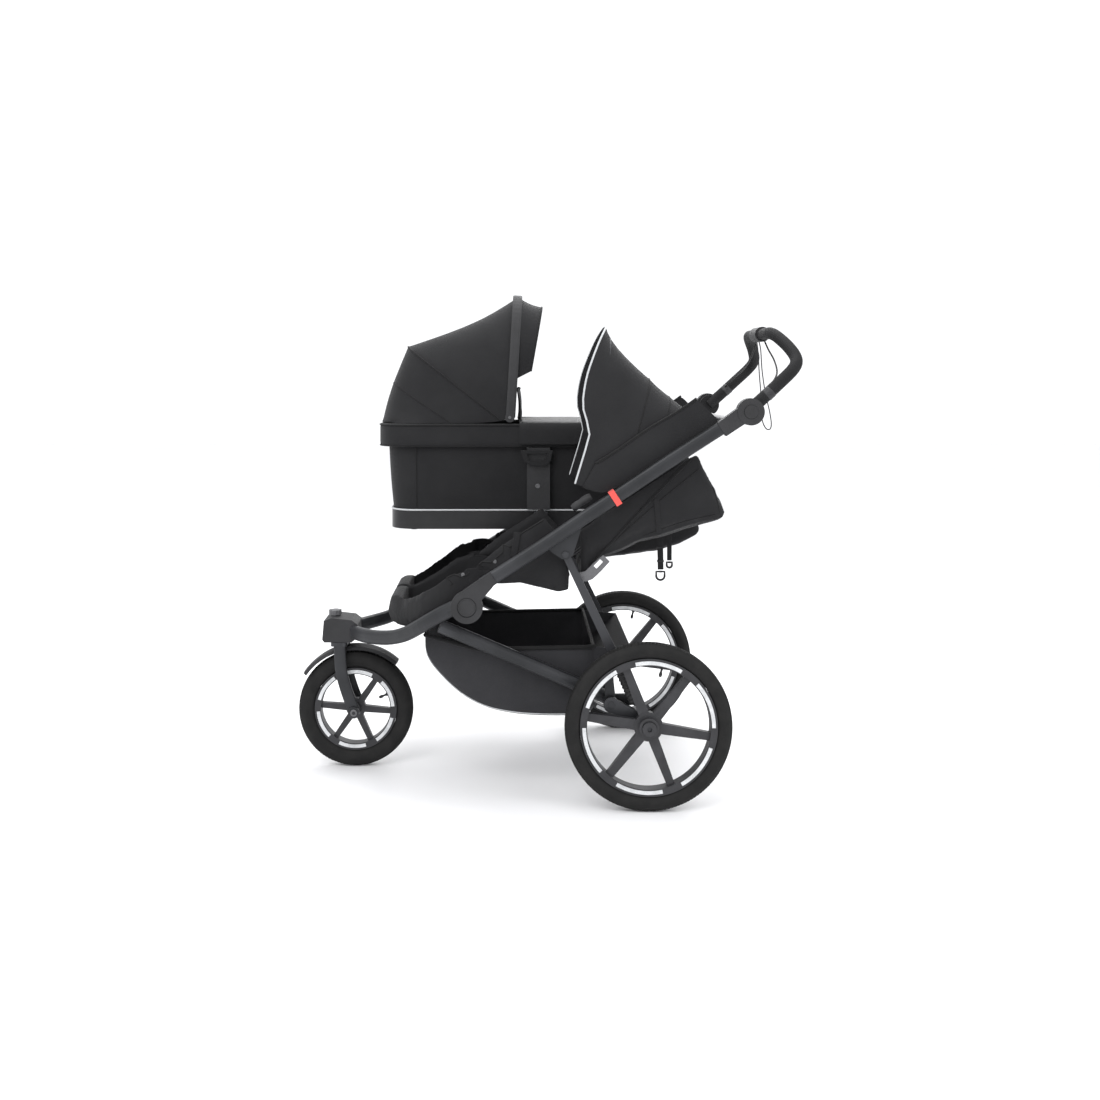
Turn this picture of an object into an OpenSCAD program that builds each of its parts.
// Side-by-side three-wheel jogging stroller with one reclining seat and one bassinet.
// The front points along -X, the left side along -Y, and +Z is up. Every size is in millimetres.

/* [Wheels] */
// Outer radius of a rear tyre
rear_tyre_r = 203; // [195:1:205]
// Outer radius of the front tyre
front_tyre_r = 154; // [150:1:156]
// Width of every tyre
tyre_w = 46; // [42:1:48]
// Distance between the mid-planes of the rear wheels
track = 710; // [708:1:716]
// Radius of the front and rear axles
axle_r = 6; // [5:0.5:7]

/* [Frame] */
// Distance of each side tube from the centre plane
side_tube_y = 335; // [334:1:337]
// Height of the oval side tube's section
side_tube_h = 33; // [30:1:34]
// Thickness of the oval side tube's section
side_tube_t = 23; // [20:1:24]
// Radius of the round lower tubes
lower_tube_r = 17; // [14:1:18]
// Radius of the fold hub's disc
fold_hub_r = 39; // [34:1:40]
// Diameter of the handlebar's grip
handlebar_d = 31; // [28:1:32]

/* [Seats] */
// Outer side of each seat, measured from the centre plane
seat_outer_y = 281; // [270:1:283]
// Inner side of the left seat, measured from the centre plane
seat_inner_y = 40; // [38:1:60]
// Thickness of the seat pads
pad_t = 26; // [20:1:30]

/* [Bassinet] */
// Length of the bassinet's rim
bassinet_l = 790; // [760:1:800]
// Width of the bassinet's rim
bassinet_w = 322; // [310:1:324]
// Thickness of the bassinet's walls
bassinet_wall = 9; // [6:1:12]

/* [Running fits] */
// Radial gap between a pin and the bore it turns in
fit = 0.06; // [0.03:0.01:0.1]
// Gap between parts that pass each other
gap = 0.5; // [0.3:0.1:1]

/* [Hidden] */
$fn = 48;

// The drawing is laid out from a plane through the rear hub line and then centred on its box.
centre_x = 76.5;

charcoal = "#2b2c2e";
graphite = "#3a3b3d";
rubber_black = "#1c1c1d";
fabric_black = "#1f2023";
fabric_grey = "#34353a";
light_grey = "#c9cacb";
coral = "#e8564f";

// Axles and pivots, as [x, z] in the side view
rear_axle = [332, rear_tyre_r];
front_axle = [-417, front_tyre_r];
fold_pivot = [-107, 488];
arm_pivot = [245, 246];
strut_foot = [308, 250];
strut_top = [133, 613];
handle_pivot = [582, 962];
recline_pivot = [172, 560];
catch_pivot = [163, 551];
hood_pivot = [-3, 936];
canopy_pivot = [430, 938];
steer_x = -460;

// Layers across the stroller, as distances from the centre plane
strut_y = [288, 302];
lug_y = [277, 287.5];
catch_y = [281.4, 287.4];
catch_pin_r = 4;
tower_y = [303.2, 312.6];
arm_y = [313.2, 328];
boot_y = 317;
inner_disc_y = [312, 332];
outer_disc_y = [332.6, 352];
handle_disc_y = [300, 321];
handle_cap_y = [321.6, 349];
rim_half = 17;
wheel_y = track / 2;
bassinet_y = 146;

function unit(v) = v / norm(v);
function at_y(p, y) = [p[0], y, p[1]];
function mix(a, b, t) = a + (b - a) * t;
function bow(v, power) = sign(v) * pow(abs(v), power);

// A smooth curve through the points, n steps to each span.
function knot(p, i) = p[min(max(i, 0), len(p) - 1)];
function curve_at(p, i, t) =
    let (a = knot(p, i - 1), b = knot(p, i), c = knot(p, i + 1), d = knot(p, i + 2))
    (2 * b + (c - a) * t + (2 * a - 5 * b + 4 * c - d) * t * t
        + (3 * b - a - 3 * c + d) * t * t * t) / 2;
function curve(p, n) =
    [for (i = [0:len(p) - 2], k = [0:n - 1]) curve_at(p, i, k / n), p[len(p) - 1]];
function mirrored(p) = concat(p, [for (i = [len(p) - 1:-1:0]) [p[i].x, -p[i].y, p[i].z]]);
function flipped(p) = [for (q = p) [q.x, -q.y, q.z]];

// Directions along a path, and one side vector at each point that doesn't twist.
function along(p) = [for (i = [0:len(p) - 1])
    unit(p[min(i + 1, len(p) - 1)] - p[max(i - 1, 0)])];
function upright(n, t) = unit(n - (n * t) * t);
function sides_of(t, first) = [for (i = 0, n = upright(first, t[0]); i < len(t);
    i = i + 1, n = i < len(t) ? upright(n, t[i]) : n) n];

// A solid bar swept along a path: size is [across, tall], square < 1 flattens its four sides.
module swept(path, size, first = [0, 1, 0], square = 1, sides = 16) {
    t = along(path);
    n = sides_of(t, first);
    rings = len(path);
    points = [for (i = [0:rings - 1], k = [0:sides - 1])
        let (a = 360 * (k + 0.5) / sides)
        path[i] + n[i] * bow(cos(a), square) * size[0] / 2
            + cross(t[i], n[i]) * bow(sin(a), square) * size[1] / 2];
    walls = [for (i = [0:rings - 2], k = [0:sides - 1])
        let (a = i * sides + k, b = i * sides + (k + 1) % sides)
        [a, a + sides, b + sides, b]];
    ends = [[for (k = [0:sides - 1]) k],
        [for (k = [sides - 1:-1:0]) (rings - 1) * sides + k]];
    polyhedron(points, concat(walls, ends), convexity = 6);
}

// A thin closed sheet between an outer and an inner grid of points, each a list of equal rows.
module shell(outer, inner) {
    rows = len(outer);
    cols = len(outer[0]);
    all = concat([for (r = outer, p = r) p], [for (r = inner, p = r) p]);
    m = rows * cols;
    function id(r, c) = r * cols + c;
    skin = [for (r = [0:rows - 2], c = [0:cols - 2])
        [id(r, c), id(r + 1, c), id(r + 1, c + 1), id(r, c + 1)]];
    back = [for (f = skin) [for (k = [3:-1:0]) f[k] + m]];
    ends = [for (c = [0:cols - 2], e = [0, 1])
        let (a = id(e * (rows - 1), c), b = a + 1)
        e == 0 ? [a, b, b + m, a + m] : [b, a, a + m, b + m]];
    edges = [for (r = [0:rows - 2], e = [0, 1])
        let (a = id(r, e * (cols - 1)), b = a + cols)
        e == 0 ? [b, a, a + m, b + m] : [a, b, b + m, a + m]];
    polyhedron(all, concat(skin, back, ends, edges), convexity = 8);
}

// One row of points over an arch whose feet stand at foot and whose crown is at top.
function arch(foot, top, mid, width, power, steps) = [for (k = [0:steps])
    let (a = 180 * k / steps, rise = bow(sin(a), power))
    [mix(foot[0], top[0], rise), mid - bow(cos(a), power) * width / 2, mix(foot[1], top[1], rise)]];

// A plate cut to an outline in the side view, standing between two distances from the middle.
module plate(outline, y, side = -1) {
    lo = min(side * y[0], side * y[1]);
    translate([0, lo, 0]) rotate([90, 0, 0]) mirror([0, 0, 1])
        linear_extrude(abs(y[1] - y[0])) polygon(outline);
}
// A round pin or disc across the stroller.
module disc(at, r, y, side = -1) {
    lo = min(side * y[0], side * y[1]);
    translate([at[0], lo, at[1]]) rotate([-90, 0, 0]) cylinder(h = abs(y[1] - y[0]), r = r);
}
// A bar-shaped outline from one point to another, for plates that join two pivots.
function bar(a, b, wa, wb) = let (d = unit(b - a), n = [-d[1], d[0]])
    [a + n * wa, b + n * wb, b - n * wb, a - n * wa];
module rounded(l, w, r) {
    square([l - 2 * r, w], center = true);
    square([l, w - 2 * r], center = true);
    for (x = [-1, 1], y = [-1, 1]) translate([x * (l / 2 - r), y * (w / 2 - r)]) circle(r);
}

// ---- wheels, drawn about their own centre with the axle along Y ----
module tyre(r, depth) rotate([90, 0, 0]) rotate_extrude($fn = 96)
    difference() {
        translate([r - tyre_w / 2, 0]) circle(d = tyre_w);
        translate([r - tyre_w, -tyre_w]) square([tyre_w - depth, 2 * tyre_w]);
    }
module rim(r, depth, lip, hub, flange_r, spoke_w, turn, side) {
    bed = r - depth;
    rotate([90, 0, 0]) difference() {
        union() {
            rotate_extrude($fn = 96) translate([bed - lip, -rim_half]) square([lip, 2 * rim_half]);
            for (k = [0:5]) rotate(k * 60 + turn) translate([0, 0, -8]) linear_extrude(16)
                polygon([[0.7 * flange_r, -spoke_w[0]], [bed - lip + 3, -spoke_w[1]],
                    [bed - lip + 3, spoke_w[1]], [0.7 * flange_r, spoke_w[0]]]);
            translate([0, 0, -9]) cylinder(h = 18, r = flange_r);
            translate([0, 0, side > 0 ? -hub[2] : -hub[1]])
                cylinder(h = hub[1] + hub[2], r = hub[0]);
        }
        cylinder(h = 200, r = axle_r + fit, center = true);
    }
}
// Six light arcs on the outer face of the rim, and on the inner face too.
module reflectors(r, depth, lip, turn) {
    inner = r - depth - lip + 2.5;
    band = 9;
    for (k = [0:5], face = [-1, 1]) rotate([90, 0, 0])
        rotate(k * 60 + turn + 9) rotate_extrude(angle = 42, $fn = 96)
            translate([inner, face > 0 ? rim_half : -rim_half - 1.5]) square([band, 1.5]);
}
module wheel_at(axle, y) translate([axle[0], y, axle[1]]) children();

rear_depth = 37;
front_depth = 44;
rear_lip = 17;
front_lip = 17;
rear_turn = -9;
front_turn = -5;
module rear_tyre(side) color(rubber_black) wheel_at(rear_axle, side * wheel_y)
    tyre(rear_tyre_r, rear_depth);
module rear_rim(side) color(graphite) wheel_at(rear_axle, side * wheel_y)
    rim(rear_tyre_r, rear_depth, rear_lip, [17, 26, 33], 35, [13, 9.5], rear_turn, side);
module rear_reflectors(side) color(light_grey) wheel_at(rear_axle, side * wheel_y)
    reflectors(rear_tyre_r, rear_depth, rear_lip, rear_turn);
module front_tyre() color(rubber_black) wheel_at(front_axle, 0) tyre(front_tyre_r, front_depth);
module front_rim() color(graphite) wheel_at(front_axle, 0)
    rim(front_tyre_r, front_depth, front_lip, [15, 30, 30], 26, [9, 7], front_turn, 1);
module front_reflectors() color(light_grey) wheel_at(front_axle, 0)
    reflectors(front_tyre_r, front_depth, front_lip, front_turn);

// ---- front end ----
fork_leg = [[-456, 45, 336], [-455, 45, 300], [-451, 45, 258], [-436, 45, 205], [-417, 45, 154]];
module fork_leg_solid(side)
    swept(curve([for (p = fork_leg) [p.x, side * p.y, p.z]], 4), [13, 32], square = 0.8);
module fork() color(charcoal) {
    for (s = [-1, 1]) fork_leg_solid(s);
    translate([steer_x + 2, 0, 333]) linear_extrude(10, center = true) rounded(44, 102, 10);
    disc(front_axle, axle_r, [-60, 60]);
    for (s = [-1, 1]) disc(front_axle, 15, [34, 58], s);
}
fender_r = front_tyre_r + 14;
module fender() color(charcoal) wheel_at(front_axle, 0) rotate([90, 0, 0])
    rotate(48) rotate_extrude(angle = 97, $fn = 96)
        polygon([[fender_r - 6, -29], [fender_r + 1, -24], [fender_r + 3, 0], [fender_r + 1, 24],
            [fender_r - 6, 29], [fender_r - 8, 27], [fender_r - 2, 22], [fender_r, 0],
            [fender_r - 2, -22], [fender_r - 8, -27]]);
housing_z = [339, 404];
module steering_stem() color(graphite) {
    translate([steer_x, 0, 338]) cylinder(h = 60, r = 11);
}
housing_outline = [[-502, 346], [-496, housing_z[0]], [-424, housing_z[0]], [-408, 352],
    [-408, 386], [-424, 398], [-478, housing_z[1]], [-498, 396]];
module front_housing() color(charcoal) difference() {
    plate(housing_outline, [-50, 50]);
    translate([steer_x, 0, housing_z[0] - 1]) cylinder(h = 62, r = 11 + fit);
}
module swivel_lock_knob() color(graphite) translate([-474, 0, housing_z[1] + gap])
    difference() {
        cylinder(h = 13, r = 17);
        for (a = [0:60:300]) rotate(a) translate([19, 0, -1]) cylinder(h = 15, r = 4);
    }

// ---- front tubes, from the housing to the fold hubs ----
front_route = [[-418, -46, 366], [-385, -92, 367], [-346, -136, 371], [-302, -186, 382],
    [-262, -232, 401], [-222, -276, 430], [-180, -304, 459], [-142, -316, 480], [-112, -318, 492]];
module front_tube(side) color(charcoal) difference() {
    union() {
        swept(curve([for (p = front_route) [p.x, -side * p.y, p.z]], 3), [24, 37],
            first = [0.7, 0.7, 0], square = 0.75);
        disc(fold_pivot, fold_hub_r - 4, inner_disc_y, side);
    }
    disc(fold_pivot, 9, [300, 340], side);
}
module lower_tube(side) color(charcoal)
    swept(curve([for (p = [[-176, 284, 431], [-100, 279, 398], [20, 274, 346], [146, 270, 291],
        [236, 266, 250]]) [p.x, side * p.y, p.z]], 3), [2 * lower_tube_r, 2 * lower_tube_r]);

boot_top = [262, 334];
boot_foot = [304, 240];
module rear_cross_tube() color(charcoal) {
    disc(arm_pivot, lower_tube_r, [-lug_y[1], lug_y[1]]);
    for (s = [-1, 1]) {
        disc(arm_pivot, 10, [lug_y[1], arm_y[1] + 1], s);
        plate(bar(arm_pivot, strut_foot, 16, 13), lug_y, s);
        disc(strut_foot, 13, lug_y, s);
        disc(strut_foot, 6, [lug_y[1], strut_y[1]], s);
        disc(arm_pivot, 17, tower_y, s);
        plate([[230, 246], [258, 246], [252, 300], [250, 345], [232, 345]], tower_y, s);
        plate([[232, 343], [266, 351], [276, 336], [256, 327], [250, 318]], [tower_y[0], 330], s);
    }
}
module swing_arm(side) color(graphite) difference() {
    union() {
        plate(bar(arm_pivot, rear_axle, 17, 15), arm_y, side);
        disc(arm_pivot, 19, arm_y, side);
        disc(rear_axle, 18, arm_y, side);
        disc(rear_axle, axle_r, [arm_y[1], wheel_y + 28], side);
    }
    disc(arm_pivot, 10 + fit, [300, 340], side);
}
module suspension_boot(side) color(rubber_black) {
    d = boot_foot - boot_top;
    len_b = norm(d) - 14;
    ribs = 5;
    translate([boot_top[0] + 2.2, side * boot_y, boot_top[1] - 4.2])
        rotate([0, 90 + atan2(-d[1], d[0]), 0])
            rotate_extrude() polygon(concat([[0, 0]],
                [for (k = [0:ribs - 1], e = [0, 1]) [e == 0 ? 8 : 11.4, len_b * (k + e / 2) / ribs]],
                [[8, len_b], [0, len_b]]));
}

// ---- struts ----
module strut(side) color(charcoal) difference() {
    union() {
        plate(bar(strut_top, strut_foot, 9, 12.5), strut_y, side);
        disc(strut_top, 11, strut_y, side);
        disc(strut_foot, 13, strut_y, side);
        if (side < 0) disc(catch_pivot, catch_pin_r, [catch_y[0] - 0.2, strut_y[0] + 1], side);
    }
    disc(strut_foot, 6 + fit, [280, 310], side);
    disc(strut_top, 5.5, [280, 310], side);
}
module transport_catch() color("#8b8d90") difference() {
    union() {
        disc(catch_pivot, 10, catch_y, -1);
        plate([[164, 541], [186, 541], [202, 547], [222, 566], [244, 590], [228, 606],
            [206, 588], [184, 566], [164, 561]], catch_y);
    }
    plate([[212, 572], [228, 589], [220, 596], [204, 579]], [270, 310]);
    disc(catch_pivot, catch_pin_r + fit, [270, 310], -1);
}

// ---- upper frame ----
side_route = [[-70, 541], [78, 636], [178, 704], [277, 769], [394, 847], [511, 922], [560, 953]];
module side_tube(side) color(charcoal)
    swept(curve([for (p = side_route) at_y(p, side * side_tube_y)], 3), [side_tube_t, side_tube_h],
        square = 0.72);
module fold_hubs() color(charcoal) for (s = [-1, 1]) difference() {
    union() {
        disc(fold_pivot, fold_hub_r, outer_disc_y, s);
        plate([[-138, 512], [-88, 548], [-50, 572], [-36, 548], [-72, 505]],
            outer_disc_y, s);
        disc(fold_pivot, 8.9, [305, outer_disc_y[0]], s);
    }
    disc(fold_pivot, 24, [349, 360], s);
}
module cross_bars() color(charcoal) {
    disc([-64, 546], 10, [-324, 324]);
    disc([534, 938], 11, [-324, 324]);
}
module strut_brackets() color(charcoal) for (s = [-1, 1]) {
    difference() {
        plate([[84, 634], [178, 696], [152, 612], [138, 600], [124, 602], [100, 618]],
            [303.6, 324], s);
        disc(strut_top, 5.5, [300, 309], s);
    }
    disc(strut_top, 8, [324, 327.5], s);
}
band_at = [253, 753];
module red_band() color(coral) translate([band_at[0], -side_tube_y, band_at[1]])
    rotate([0, -33.3, 0]) difference() {
        cube([15, side_tube_t + 4, side_tube_h + 6], center = true);
        cube([20, side_tube_t + 1, side_tube_h + 1.6], center = true);
    }
module handle_hubs() color(charcoal) for (s = [-1, 1]) difference() {
    union() {
        disc(handle_pivot, 33, handle_cap_y, s);
        plate([[500, 934], [556, 975], [566, 932], [522, 903]], [323, 348], s);
    }
    disc(handle_pivot, 17, [338, 352], s);
    disc(handle_pivot, 8 + fit, [310, 335], s);
}
module handle_button(side) color(graphite) disc(handle_pivot, 16.5, [342.4, 351], side);

// ---- handlebar ----
bar_mid = [670, 1159];
handle_route = [[582, -305, 962], [612, -305, 988], [660, -304, 1032], [697, -296, 1068],
    [708, -271, 1092], [698, -236, 1120], [680, -190, 1147], [671, -150, 1158],
    [670, -105, 1159], [670, -60, 1159]];
module handlebar() color(rubber_black) {
    swept(curve(mirrored(handle_route), 4), [handlebar_d, handlebar_d], sides = 20);
    for (s = [-1, 1]) {
        disc(handle_pivot, 27, handle_disc_y, s);
        disc(handle_pivot, 8, [handle_disc_y[1], 334], s);
    }
}
module brake_twist_grip() color(graphite) difference() {
    disc(bar_mid, 20, [-44, 44]);
    disc(bar_mid, handlebar_d / 2 + 0.4, [-50, 50]);
}
cable_left = [[672, -54, 1144], [684, -52, 1118], [692, -90, 1088], [684, -160, 1056],
    [655, -235, 1030], [625, -285, 1008], [612, -303, 994]];
cable_right = [[672, 54, 1144], [668, 66, 1118], [662, 110, 1086], [656, 175, 1062],
    [646, 240, 1043], [630, 288, 1018], [618, 304, 1000]];
module brake_cables() color(rubber_black) for (c = [cable_left, cable_right])
    swept(curve(c, 6), [4.6, 4.6], first = [1, 0, 0], sides = 8);
cord_route = [[672, 47, 1144], [675, 46, 1122], [677, 45, 1096], [678, 44, 1066], [680, 43, 1036],
    [682, 41, 1006], [682, 38, 976], [682, 35, 948], [686, 33, 922], [694, 35, 906],
    [703, 41, 901], [711, 49, 905], [714, 56, 920], [710, 57, 948], [703, 54, 976],
    [696, 52, 1006], [691, 50, 1036], [687, 48.5, 1066], [685, 48, 1096], [683, 47.5, 1122],
    [678, 47, 1145]];
module wrist_cord() color(rubber_black)
    swept(curve(cord_route, 3), [3, 3], first = [0, 1, 0], sides = 8);

// ---- seats ----
seat_side = [[-52, 566], [-50, 534], [22, 531], [121, 513], [148, 518], [152, 560], [140, 640],
    [84, 704], [-27, 634], [-92, 580], [-86, 566]];
seat_low_side = [[-52, 562], [-50, 534], [22, 531], [121, 513], [148, 518], [152, 560],
    [146, 600], [84, 612], [-27, 604], [-52, 590]];
seat_base = [[-50, 534], [22, 531], [121, 513], [148, 518], [150, 546], [100, 548],
    [22, 562], [-48, 566]];
module seat(y0, y1, side, low) color(fabric_black) {
    plate(seat_base, [y0, y1], side);
    plate(low ? seat_low_side : seat_side, [y1 - 9, y1], side);
    plate(low ? seat_low_side : seat_side, [y0, y0 + 9], side);
}
back_outline = [[173, 545], [215, 592], [281, 616], [318, 634], [368, 646], [526, 698],
    [534, 712], [511, 767], [500, 792], [482, 790], [168, 588], [165, 560]];
wing_outline = [[173, 545], [215, 592], [281, 616], [318, 634], [368, 646], [526, 698],
    [534, 712], [514, 776], [464, 862], [444, 856], [300, 762], [214, 708], [166, 668],
    [160, 600], [165, 560]];
flat_outline = [[173, 545], [215, 552], [300, 560], [400, 574], [460, 594], [512, 622],
    [518, 638], [508, 662], [490, 664], [440, 642], [404, 622], [300, 614], [168, 592],
    [165, 560]];
wing_t = 12;
back_y = [52, 272];
module backrest_barrel(y, side) disc(recline_pivot, 11, y, side);
module backrest_left() color(fabric_black) {
    plate(back_outline, [back_y[0] + 1, back_y[1] - 1]);
    plate(wing_outline, [back_y[0], back_y[0] + wing_t]);
    plate(wing_outline, [back_y[1] - wing_t, back_y[1]]);
    backrest_barrel(back_y, -1);
}
module backrest_right() color(fabric_black) {
    plate(flat_outline, [14, 272], 1);
    backrest_barrel([14, 272], 1);
}
foot_outline = [[-324, 440], [-314, 416], [-290, 406], [-258, 408], [-214, 432], [-150, 478],
    [-110, 510], [-97, 522], [-97, 576], [-150, 560], [-200, 524], [-262, 488], [-276, 484],
    [-296, 490], [-314, 482]];
foot_hollow = [[-258, 424], [-214, 448], [-150, 492], [-110, 524], [-90, 540], [-90, 600],
    [-276, 600], [-276, 440]];
foot_plan = [[-328, 8], [-328, 128], [-302, 160], [-262, 206], [-222, 250], [-180, 276],
    [-90, 281], [-90, 8]];
foot_plan_hollow = [[-276, 15], [-276, 178], [-262, 195], [-222, 240], [-180, 268], [-85, 273],
    [-85, 15]];
module upright_block(plan, side) mirror([0, side < 0 ? 1 : 0, 0])
    translate([0, 0, 380]) linear_extrude(240) polygon(plan);
module footwell(side) color(fabric_black) difference() {
    intersection() {
        plate(foot_outline, [0, 300], side);
        upright_block(foot_plan, side);
    }
    intersection() {
        plate(foot_hollow, [0, 300], side);
        upright_block(foot_plan_hollow, side);
    }
}

// ---- recline strap with its two rings ----
module strap_ring(at, w) translate(at) rotate([90, 0, 0]) difference() {
    union() {
        circle_plate(w / 2, 4);
        translate([-w / 2, 0, -2]) cube([w, w / 2 - 1, 4]);
    }
    circle_plate(w / 2 - 3.2, 8);
    translate([-w / 2 + 3.2, 0, -4]) cube([w - 6.4, w / 2 - 4.2, 8]);
}
module circle_plate(r, h) cylinder(h = h, r = r, center = true);
module recline_strap() color(fabric_grey) {
    translate([386, -151.2, 545]) rotate([0, -3, 0]) translate([-7.5, 0, 0]) cube([15, 2.4, 108]);
    translate([403, -147.6, 570]) cube([12, 2.4, 90]);
    strap_ring([385, -150, 534], 27);
    strap_ring([409, -146.4, 562], 19);
}

// ---- canopy of the left seat ----
canopy_y = -178;
canopy_w = 274;
canopy_feet = [[165, 790], [215, 768], [280, 805], [350, 852], [424, 902]];
canopy_tops = [[241, 1174], [290, 1104], [350, 1040], [400, 1000], [446, 960]];
module canopy() color(fabric_black) {
    n = len(canopy_feet) - 1;
    outer = [for (i = [n:-1:0])
        arch(canopy_feet[i], canopy_tops[i], canopy_y, canopy_w, 0.6, 20)];
    inner = [for (i = [n:-1:0]) arch(canopy_feet[i], canopy_tops[i] - [2, 5], canopy_y,
        canopy_w - 9, 0.6, 20)];
    shell(outer, inner);
}
hoop_w = canopy_w - 34;
hoop_end = 110;
module canopy_hoop() color(graphite) {
    for (end = [-1, 1]) disc(canopy_pivot, 6, [canopy_y + end * hoop_end - 3,
        canopy_y + end * hoop_end + 3], 1);
    swept(concat([[430, canopy_y - hoop_end, 938], [330, canopy_y - hoop_w / 2, 890]],
        arch([216, 838], [250, 1146], canopy_y, hoop_w, 0.6, 28),
        [[330, canopy_y + hoop_w / 2, 890], [430, canopy_y + hoop_end, 938]]),
        [6, 6], first = [1, 0, 0], sides = 8);
}

// ---- basket ----
basket_outline = [[-216, 398], [-212, 362], [-180, 311], [-123, 254], [-61, 218], [0, 201],
    [63, 194], [135, 193], [206, 198], [212, 214], [214, 362], [-100, 362], [-150, 374]];
basket_hollow = [[-208, 420], [-205, 364], [-174, 316], [-118, 260], [-58, 225], [1, 208],
    [63, 201], [135, 200], [202, 205], [205, 216], [207, 420]];
module basket() color(fabric_black) difference() {
    plate(basket_outline, [-248, 248]);
    plate(basket_hollow, [-242, 242]);
}

// ---- bassinet ----
bassinet_x = 35;
base_z = [634, 684];
tub_z = [684, 856];
rim_z = [856.5, 918];
module ring(l, w, r, wall, z) translate([bassinet_x, bassinet_y, z[0]])
    linear_extrude(z[1] - z[0]) difference() {
        rounded(l, w, r);
        rounded(l - 2 * wall, w - 2 * wall, r - wall);
    }
module bassinet_base() color(charcoal) {
    translate([bassinet_x, bassinet_y, base_z[0]]) linear_extrude(base_z[1] - base_z[0])
        rounded(bassinet_l - 66, bassinet_w - 42, 70);
    for (x = [-1, 1], y = [-1, 1])
        translate([bassinet_x + x * 300, bassinet_y + y * 90, 628]) cylinder(h = 10, r = 9);
}
module bassinet_tub() color(fabric_black)
    ring(bassinet_l - 58, bassinet_w - 34, 74, bassinet_wall, tub_z);
module bassinet_rim() color(fabric_black)
    ring(bassinet_l, bassinet_w, 90, 15, rim_z);
module bassinet_mattress() color(fabric_grey)
    translate([bassinet_x, bassinet_y, 684.4]) linear_extrude(46)
        rounded(bassinet_l - 90, bassinet_w - 66, 58);
hood_feet = [[-10, 930], [-110, 920], [-230, 920], [-310, 920], [-352, 920]];
hood_tops = [[14, 1260], [-135, 1186], [-286, 1128], [-334, 1024], [-354, 932]];
hood_widths = [306, 312, 308, 268, 150];
module hood() color(fabric_black) {
    outer = [for (i = [0:4])
        arch(hood_feet[i], hood_tops[i], bassinet_y, hood_widths[i], 0.62, 20)];
    inner = [for (i = [0:4])
        arch(hood_feet[i] + [i == 4 ? 4 : 0, 0], hood_tops[i] - [i == 4 ? -4 : 0, 5], bassinet_y,
            hood_widths[i] - 10, 0.62, 20)];
    shell(outer, inner);
}
bow_w = 318;
module hood_bow() color(charcoal) {
    for (end = [-1, 1]) disc(hood_pivot, 13, [bassinet_y + end * (bow_w - 5) / 2 - 2.5,
        bassinet_y + end * (bow_w - 5) / 2 + 2.5], 1);
    swept([for (p = arch(hood_pivot, [17, 1270], bassinet_y, bow_w - 5, 0.62, 36))
        p + [2, 0, 0]], [5, 27], first = [0, 1, 0], sides = 8, square = 0.7);
}
module visor() color(fabric_black) {
    outer = [arch([52, 1060], [86, 1240], bassinet_y, 290, 0.62, 20),
        arch([24, 1040], [36, 1266], bassinet_y, 298, 0.62, 20)];
    inner = [arch([52, 1060], [86, 1236], bassinet_y, 283, 0.62, 20),
        arch([24, 1040], [36, 1262], bassinet_y, 291, 0.62, 20)];
    shell(outer, inner);
}
module apron() color(fabric_black) {
    translate([bassinet_x, bassinet_y, rim_z[1] + 0.4]) intersection() {
        linear_extrude(5) rounded(bassinet_l - 4, bassinet_w - 4, 88);
        translate([-13, -bassinet_w, -1]) cube([bassinet_l, 2 * bassinet_w, 20]);
    }
}
module bassinet_brackets() color(charcoal) {
    plate([[43, 690], [105, 690], [105, 855], [43, 855]], [-1.6, 14]);
    plate([[43, 700], [105, 700], [105, 855], [43, 855]], [290.4, 303], 1);
}
module release_loops() color(graphite) difference() {
    plate([[26, 848], [34, 820], [54, 808], [92, 808], [106, 820], [112, 848]], [15.6, 27]);
    plate([[42, 840], [48, 822], [92, 822], [98, 840]], [10, 40]);
}
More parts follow.
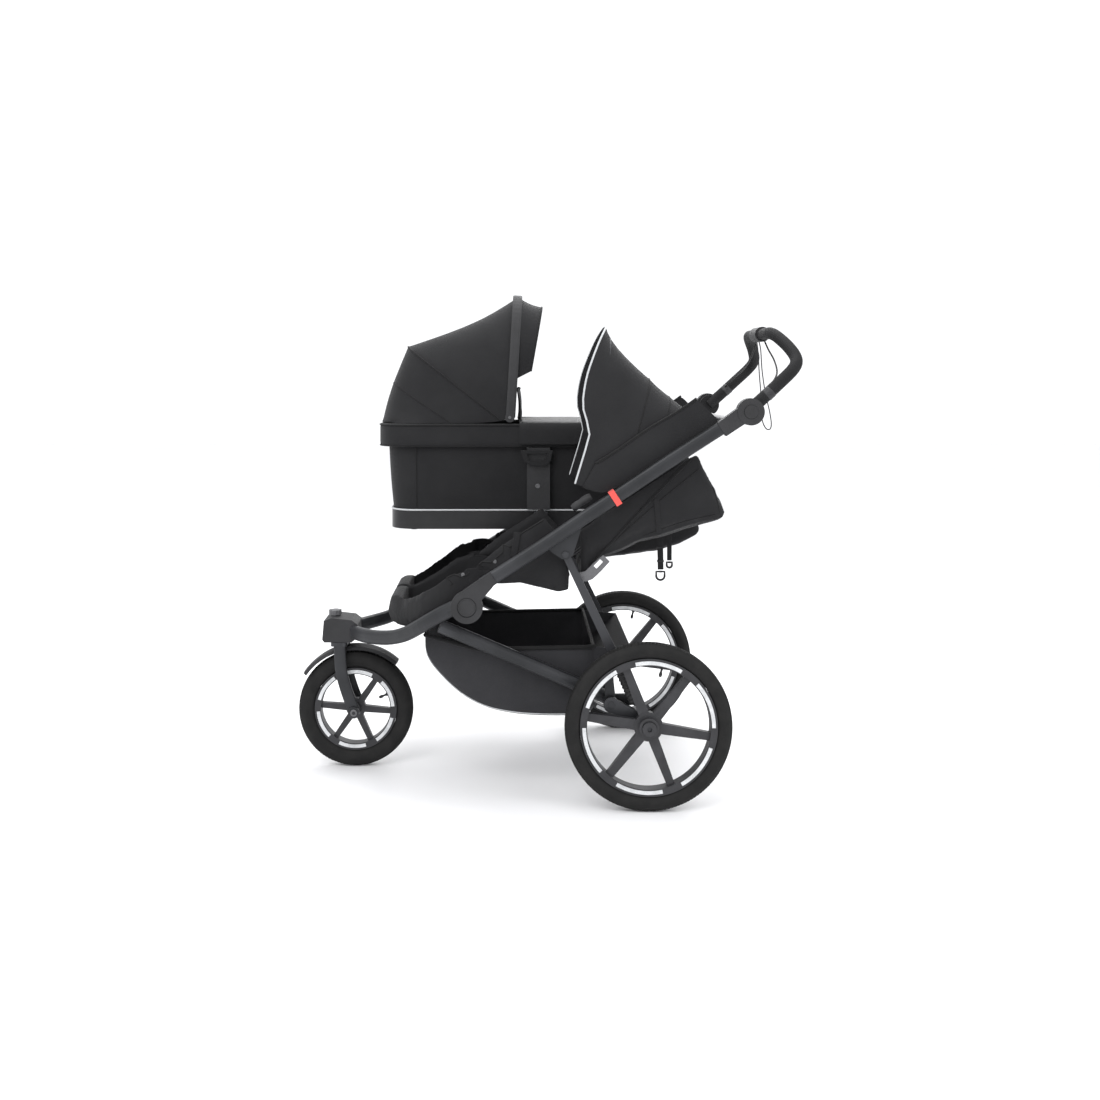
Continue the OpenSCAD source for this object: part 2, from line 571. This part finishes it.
module bassinet_adapters() color(charcoal) {
    plate([[-60, 556], [-64, 538], [24, 560], [94, 640], [98, 684], [62, 684], [58, 652], [8, 590]],
        [20, 33]);
    plate([[60, 634], [110, 664], [104, 686], [50, 686]], [307, 324], 1);
}

module placed() translate([-centre_x, 0, 0]) children();

placed() front_tube(-1);  // front_tube_left
placed() front_tube(1);  // front_tube_right
placed() front_housing();
placed() lower_tube(-1);  // lower_tube_left
placed() lower_tube(1);  // lower_tube_right
placed() rear_cross_tube();
placed() basket();
placed() footwell(-1);  // footwell_left
placed() footwell(1);  // footwell_right
placed() suspension_boot(-1);  // suspension_boot_left
placed() suspension_boot(1);  // suspension_boot_right
placed() fork();
placed() fender();
placed() steering_stem();
placed() front_tyre();
placed() front_rim();
placed() front_reflectors();
placed() swivel_lock_knob();
placed() rear_tyre(-1);  // left_tyre
placed() rear_rim(-1);  // left_rim
placed() rear_reflectors(-1);  // left_reflectors
placed() rear_tyre(1);  // right_tyre
placed() rear_rim(1);  // right_rim
placed() rear_reflectors(1);  // right_reflectors
placed() swing_arm(-1);  // swing_arm_left
placed() swing_arm(1);  // swing_arm_right
placed() strut(-1);  // strut_left
placed() strut(1);  // strut_right
placed() transport_catch();
placed() side_tube(-1);  // side_tube_left
placed() side_tube(1);  // side_tube_right
placed() fold_hubs();
placed() cross_bars();
placed() strut_brackets();
placed() red_band();
placed() seat(seat_inner_y, seat_outer_y, -1, false);  // seat_left
placed() seat(2, seat_outer_y, 1, true);  // seat_right
placed() backrest_right();
placed() handle_hubs();
placed() bassinet_adapters();
placed() handlebar();
placed() handle_button(-1);  // handle_button_left
placed() handle_button(1);  // handle_button_right
placed() brake_twist_grip();
placed() brake_cables();
placed() wrist_cord();
placed() backrest_left();
placed() recline_strap();
placed() canopy_hoop();
placed() canopy();
placed() bassinet_tub();
placed() bassinet_base();
placed() bassinet_rim();
placed() bassinet_mattress();
placed() hood();
placed() hood_bow();
placed() visor();
placed() apron();
placed() bassinet_brackets();
placed() release_loops();
